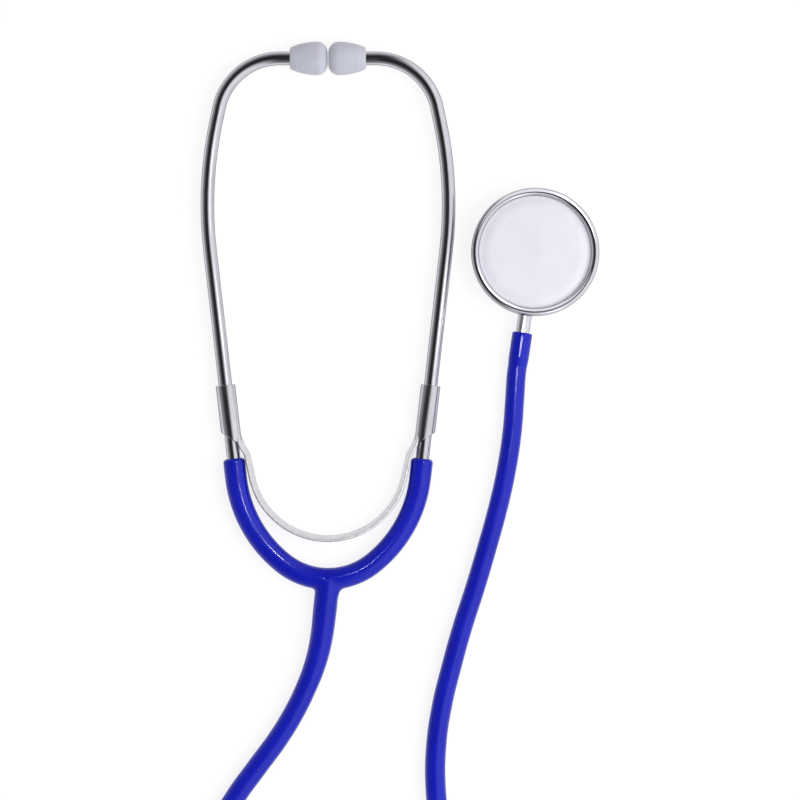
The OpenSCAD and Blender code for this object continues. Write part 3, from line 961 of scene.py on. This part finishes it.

# %% White disc
# Radius of the soft ball of painted shade over the sound port.
PORT_SHADE_R = 0.0065
disc_white = Finish("white_disc", smudge_size=110.0, grain_size=2000.0)
disc_white.set(IOR=1.48)
nodes, links = disc_white.nodes, disc_white.links
place = nodes.new("ShaderNodeTexCoord")
centred = nodes.new("ShaderNodeMapping")
centred.vector_type = "TEXTURE"
centred.inputs["Location"].default_value = (*(chest.translation.xy * MM), disc_top_z * MM)
centred.inputs["Scale"].default_value = (PORT_SHADE_R,) * 3
ball = nodes.new("ShaderNodeTexGradient")
ball.gradient_type = "QUADRATIC_SPHERE"
links.new(place.outputs["Object"], centred.inputs["Vector"])
links.new(centred.outputs["Vector"], ball.inputs["Vector"])
clouded = disc_white.tint(disc_white.smudge, colour(240, 240, 249), colour(236, 236, 246))
# Painted shade: the sound port behind the middle, seen through the thin disc, darkens the colour in a soft
# ball.
painted_port_shade = nodes.new("ShaderNodeMix")
painted_port_shade.data_type = "RGBA"
painted_port_shade.inputs["B"].default_value = colour(233, 233, 244)
links.new(clouded, painted_port_shade.inputs["A"])
links.new(ball.outputs["Fac"], painted_port_shade.inputs["Factor"])
disc_white.feed(painted_port_shade.outputs["Result"], "Base Color")
disc_white.feed(disc_white.between(disc_white.grain, 0.36, 0.44), "Roughness")
disc_white.bump(disc_white.grain, strength=0.03, distance=0.00003)

# %% Dress the pieces
DRESS = (
    (chrome, ear_tubes), (rolled, sleeves), (steel, strips), (metal, [chest_body, ring]), (drawn, [stem]),
    (vinyl, [hose] + y_halves), (milky, ear_tips), (disc_white, [disc]),
)
for finish, pieces in DRESS:
    for piece in pieces:
        piece.data.materials.clear()
        piece.data.materials.append(finish.material)
    print(finish.material.name, "on", len(pieces), "pieces")

# %% Stretched end of the hose
hose.data.materials.append(stretched.material)
cuff_faces = [f for f in hose.data.polygons if (f.center / MM - cuff_end).dot(cuff_up) > 0]
for face in cuff_faces:
    face.material_index = 1
print(stretched.material.name, "on", len(cuff_faces), "faces")

# %% [markdown]
# ## Table and light
# The table is plain white. For the camera, in reflections and through anything clear it glows a little, so
# that it reads as white and still keeps a soft shadow. One large lamp stands to the right, and the world
# fills in from all round. Polished metal needs something dark to reflect, so for reflections alone the
# world is bright to the right, dark overhead and to the left, and grey again near the horizon. The other
# lamps are seen only as reflections, each in a few pieces: three cards brighten the chest piece's ring, one
# each ear tube and one the edge of the spring, three small windows put glints on the blue bends, and two
# narrow lights overhead put a streak on the stem and on the stretched end of the hose.

# %% Table
TABLE = 3.0
bm = bmesh.new()
bmesh.ops.create_grid(bm, x_segments=8, y_segments=8, size=TABLE)
table_mesh = bpy.data.meshes.new("table")
bm.to_mesh(table_mesh)
bm.free()
table = add_object("table", table_mesh)
print("table:", TABLE * 2, "m")

# %% White of the table
GLOW = 1.1
GLOW_SHARE = 0.75


def math_node(nodes, operation):
    """A Math node with this operation."""
    made = nodes.new("ShaderNodeMath")
    made.operation = operation
    return made


table_white = bpy.data.materials.new("table_white")
table_white.use_nodes = True
nodes, links = table_white.node_tree.nodes, table_white.node_tree.links
paint = nodes["Principled BSDF"]
paint.inputs["Base Color"].default_value = (0.92, 0.92, 0.92, 1)
paint.inputs["Roughness"].default_value = 0.9
paint.inputs["Specular IOR Level"].default_value = 0.1
glow = nodes.new("ShaderNodeEmission")
glow.inputs["Strength"].default_value = GLOW
rays = nodes.new("ShaderNodeLightPath")
seen = math_node(nodes, "MAXIMUM")
seen_through = math_node(nodes, "MAXIMUM")
share = math_node(nodes, "MULTIPLY")
share.inputs[1].default_value = GLOW_SHARE
mix = nodes.new("ShaderNodeMixShader")
links.new(rays.outputs["Is Camera Ray"], seen.inputs[0])
links.new(rays.outputs["Is Glossy Ray"], seen.inputs[1])
links.new(seen.outputs[0], seen_through.inputs[0])
links.new(rays.outputs["Is Transmission Ray"], seen_through.inputs[1])
links.new(seen_through.outputs[0], share.inputs[0])
links.new(share.outputs[0], mix.inputs["Fac"])
links.new(paint.outputs[0], mix.inputs[1])
links.new(glow.outputs[0], mix.inputs[2])
links.new(mix.outputs[0], nodes["Material Output"].inputs["Surface"])
table.data.materials.append(table_white)
print(table_white.name, "glow:", GLOW, "share:", GLOW_SHARE)

# %% World
WHITE = (1, 1, 1, 1)
FILL = 0.46
BRIGHT_SIDE = Vector((0.98, -0.1, 0)).normalized()
OVERHEAD = Vector((0, 0, 1))
# Direction, where the band starts and ends along it, and its brightness at either end.
BANDS = ((BRIGHT_SIDE, -0.04, 0.5, 0.03, 1.15), (OVERHEAD, 0.2, 0.9, 0.38, 0.02))

world = bpy.data.worlds.new("studio")
world.use_nodes = True
bpy.context.scene.world = world
nodes, links = world.node_tree.nodes, world.node_tree.links
soft = nodes["Background"]
soft.inputs["Color"].default_value = WHITE
soft.inputs["Strength"].default_value = FILL
place = nodes.new("ShaderNodeTexCoord")
bands = []
for axis, low, high, from_value, to_value in BANDS:
    towards = nodes.new("ShaderNodeVectorMath")
    towards.operation = "DOT_PRODUCT"
    towards.inputs[1].default_value = axis
    band = nodes.new("ShaderNodeMapRange")
    band.interpolation_type = "SMOOTHSTEP"
    band.inputs["From Min"].default_value = low
    band.inputs["From Max"].default_value = high
    band.inputs["To Min"].default_value = from_value
    band.inputs["To Max"].default_value = to_value
    links.new(place.outputs["Generated"], towards.inputs[0])
    links.new(towards.outputs["Value"], band.inputs["Value"])
    bands.append(band)
brighter = math_node(nodes, "MAXIMUM")
for band, socket in zip(bands, brighter.inputs):
    links.new(band.outputs["Result"], socket)
mirrored = nodes.new("ShaderNodeBackground")
white = nodes.new("ShaderNodeBackground")
white.inputs["Color"].default_value = WHITE
rays = nodes.new("ShaderNodeLightPath")
pick_mirror = nodes.new("ShaderNodeMixShader")
pick_seen = nodes.new("ShaderNodeMixShader")
links.new(brighter.outputs[0], mirrored.inputs["Color"])
links.new(rays.outputs["Is Glossy Ray"], pick_mirror.inputs["Fac"])
links.new(soft.outputs[0], pick_mirror.inputs[1])
links.new(mirrored.outputs[0], pick_mirror.inputs[2])
links.new(rays.outputs["Is Camera Ray"], pick_seen.inputs["Fac"])
links.new(pick_mirror.outputs[0], pick_seen.inputs[1])
links.new(white.outputs[0], pick_seen.inputs[2])
links.new(pick_seen.outputs[0], nodes["World Output"].inputs["Surface"])
print("world:", world.name)

# %% Lamps


def area_lamp(name, at, aim, size, power):
    """A rectangular lamp that faces the point aim."""
    data = bpy.data.lights.new(name, "AREA")
    data.shape = "RECTANGLE"
    data.size, data.size_y = size
    data.energy = power
    lamp = add_object(name, data)
    lamp.location = at
    lamp.rotation_euler = (Vector(aim) - Vector(at)).to_track_quat("-Z", "Y").to_euler()
    print(name, "at", at)
    return lamp


def reflected_in(lamp, pieces):
    """Lets a lamp be seen only as a reflection, and only in these pieces."""
    lamp.visible_diffuse = False
    lamp.light_linking.receiver_collection = bpy.data.collections.new(f"{lamp.name}_shows_in")
    for piece in pieces:
        lamp.light_linking.receiver_collection.objects.link(piece)


TABLE_MIDDLE = (0, 0, 0)
softbox = area_lamp("softbox", (0.55, -0.15, 0.8), TABLE_MIDDLE, (0.9, 0.9), 7.2)
softbox.visible_glossy = False

# %% Cards, windows and streaks
RING_AT = (0.048, 0.025, 0.01)
Y_AT = (0, -0.03, 0)
WINDOW = (0.05, 0.05)
TUBE_CARD = (0.07, 0.25)
TUBE_CARD_YS = (0.07, -0.04)
# Name, place, aim, size, power, and the pieces that reflect it.
cards = [
    ("ring_card", (0.06, 0.13, 0.12), RING_AT, (0.2, 0.2), 0.15, [ring]),
    ("low_card", (0.06, -0.25, 0.25), RING_AT, (0.3, 0.25), 0.2, [ring]),
    ("far_card", (0.3, 0.25, 0.85), RING_AT, (0.2, 0.2), 0.4, [ring]),
    ("window", (0.3, 0.25, 0.85), Y_AT, WINDOW, 1.8, y_halves),
    ("window_low", (0.36, 0.03, 0.85), Y_AT, WINDOW, 1.1, y_halves),
    ("window_high", (-0.17, 0.109, 0.85), Y_AT, WINDOW, 0.6, y_halves),
    ("strip_light", (0.0, 0.02, 1.0), (0, 0.02, 0), (0.3, 0.024), 3.0, [stem]),
    ("cuff_light", (0.085, 0.012, 1.0), (0.085, 0.012, 0), (0.4, 0.016), 1.1, [hose]),
]
for (side, _), tube, card_y in zip(SIDES, ear_tubes, TUBE_CARD_YS):
    cards.append((f"tube_card_{side}", (0.5, card_y, 0.6), TABLE_MIDDLE, TUBE_CARD, 0.08, [tube]))
cards.append(("sheet_card", (-0.025, -0.09, 0.6), (-0.025, -0.07, 0), (0.7, 0.7), 1.6, strips))
lamps = {}
for name, at, aim, size, power, pieces in cards:
    lamps[name] = area_lamp(name, at, aim, size, power)
    reflected_in(lamps[name], pieces)
lamps["cuff_light"].rotation_euler.z = -STEM_TURN
bpy.context.scene.view_settings.view_transform = "Standard"
